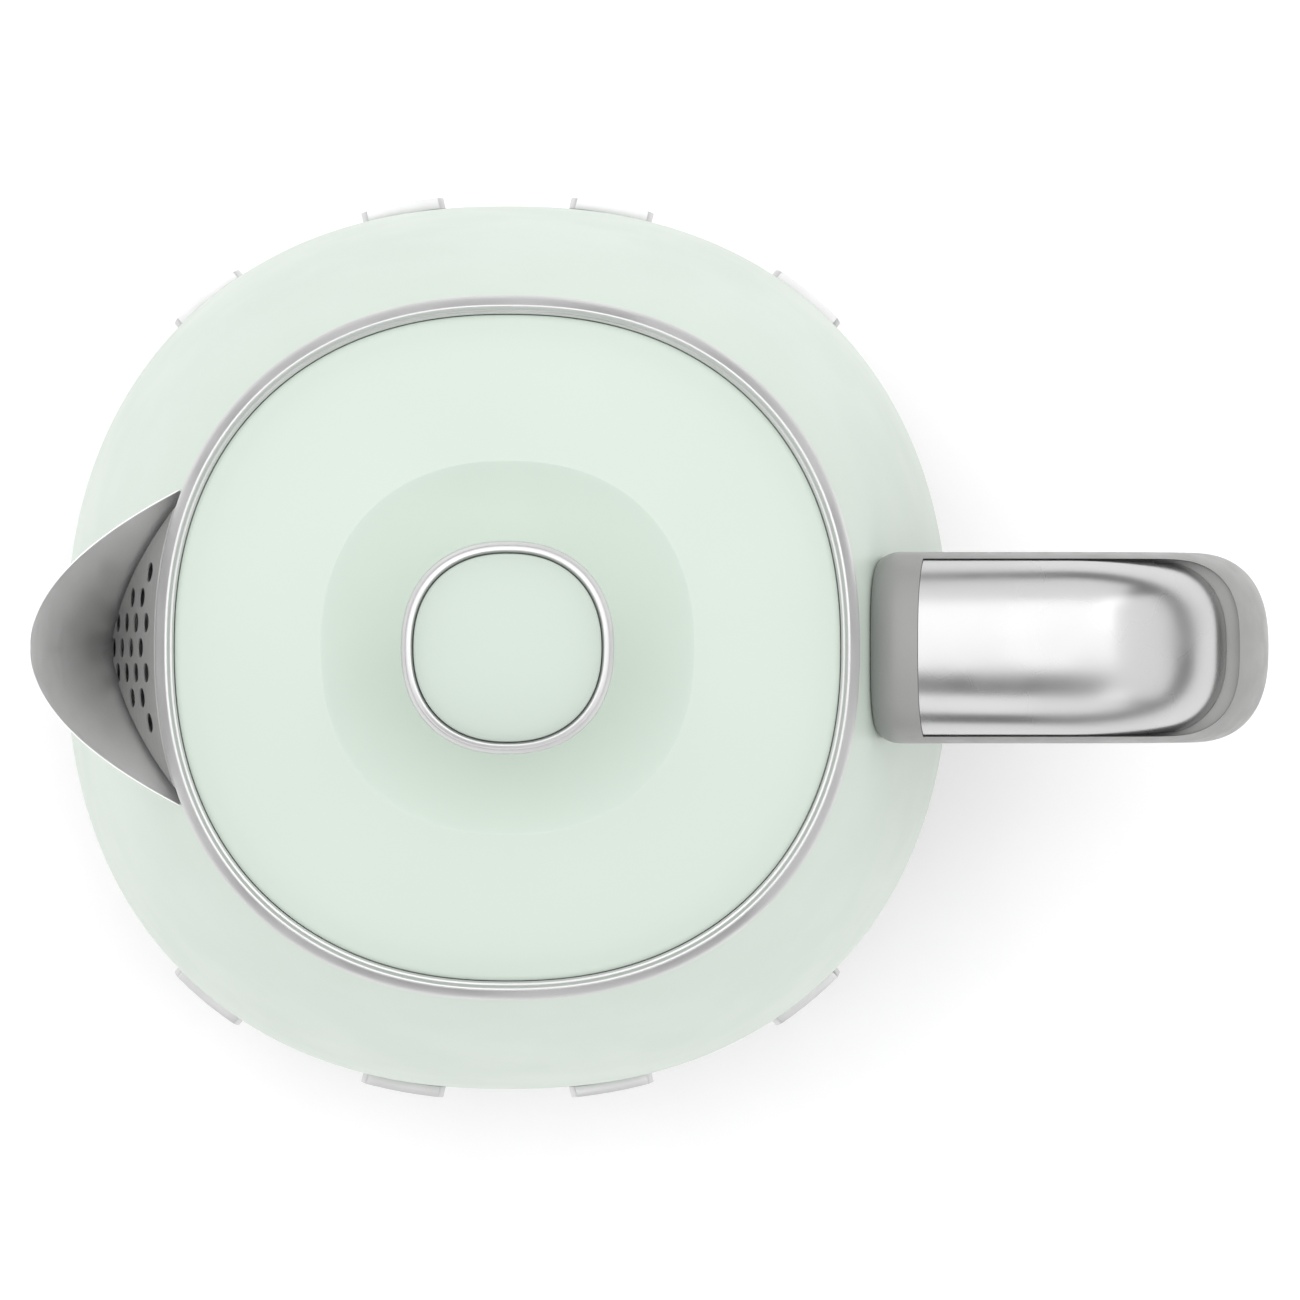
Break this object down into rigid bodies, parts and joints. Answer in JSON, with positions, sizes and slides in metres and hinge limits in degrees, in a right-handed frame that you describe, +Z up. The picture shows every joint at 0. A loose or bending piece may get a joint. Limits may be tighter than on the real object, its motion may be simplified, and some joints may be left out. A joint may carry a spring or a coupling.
{
  "type": "electric jug kettle",
  "caption": "Cordless jug kettle on a round power base: barrel body with a soft-square plan, hinged domed lid with knob, open V spout with strainer, D handle and rear switch.",
  "frame": {"origin": "centre of the power base's underside, on the table under the kettle's axis", "axes": "+Z up along the kettle's axis, +X towards the handle, -X towards the spout"},
  "size_m": [0.2272, 0.172, 0.248],
  "materials": {
    "mint": "gloss enamel",
    "chrome": "polished",
    "steel": "brushed",
    "grey_plastic": "satin",
    "dark_plastic": "matt",
    "silicone": "matt",
    "brass": "bright",
    "clear": "clear plastic",
    "lens": "translucent"
  },
  "bodies": {
    "power_base": {"base_shell": "steel", "base_deck": "dark_plastic", "base_bottom": "dark_plastic", "cord_gland": "dark_plastic", "base_plug": "dark_plastic", "plug_earth_pin": "brass", "plug_contact": "brass", "base_foot_centre": "silicone", "base_foot_1": "silicone", "base_foot_2": "silicone", "base_foot_3": "silicone"},
    "connector": {"jug_socket": "dark_plastic"},
    "jug": {"jug_shell": "mint", "collar_ring": "chrome", "bottom_trim": "chrome", "side_bar_1": "chrome", "side_bar_2": "chrome", "side_bar_3": "chrome", "side_bar_4": "chrome", "side_bar_5": "chrome", "side_bar_6": "chrome", "side_bar_7": "chrome", "side_bar_8": "chrome", "spout": "steel", "strainer": "steel", "handle_frame": "grey_plastic", "handle_cover": "chrome", "handle_screw_1": "steel", "handle_screw_2": "steel", "handle_screw_3": "steel", "handle_screw_4": "steel", "steam_hose": "silicone", "gauge_window": "clear", "gauge_gasket": "silicone", "lid_bracket": "steel", "lid_spring": "steel", "heating_plate": "steel", "plate_seal": "silicone", "clamp_ring": "steel", "heat_spreader": "steel", "heater_element": "steel", "control_unit": "dark_plastic", "dry_boil_disc": "brass", "steam_disc": "brass", "chassis": "dark_plastic", "chassis_screw_1": "steel", "chassis_screw_2": "steel", "chassis_screw_3": "steel"},
    "lid": {"lid_dome": "mint", "lid_pan": "steel", "lid_seal": "silicone", "knob_body": "mint", "knob_ring": "chrome", "knob_cap": "mint", "knob_screw": "steel", "lid_hinge_leaf": "steel", "lid_hinge_pin": "steel"},
    "lever": {"switch_lever": "grey_plastic", "pilot_lens": "lens"},
    "rocker": {"trip_rocker": "dark_plastic"}
  },
  "joints": [
    {"name": "jug_lift", "type": "slide", "parent": "power_base", "child": "connector", "axis": [0, 0, 1], "range_m": [0, 0.05]},
    {"name": "jug_swivel", "type": "hinge", "parent": "connector", "child": "jug", "pos_m": [0, 0, 0.03], "axis": [0, 0, 1], "continuous": true},
    {"name": "lid_hinge", "type": "hinge", "parent": "jug", "child": "lid", "pos_m": [0.05, 0, 0.2052], "axis": [0, 1, 0], "range_deg": [0, 70]},
    {"name": "switch_lever", "type": "hinge", "parent": "jug", "child": "lever", "pos_m": [0.07, 0, 0.0335], "axis": [0, 1, 0], "range_deg": [0, 10]},
    {"name": "trip_rocker", "type": "hinge", "parent": "jug", "child": "rocker", "pos_m": [0.056, 0, 0.0345], "axis": [0, 1, 0], "range_deg": [-8, 0]}
  ],
  "couplings": [
    {"joint": "trip_rocker", "follows": "switch_lever", "ratio": -0.8}
  ]
}
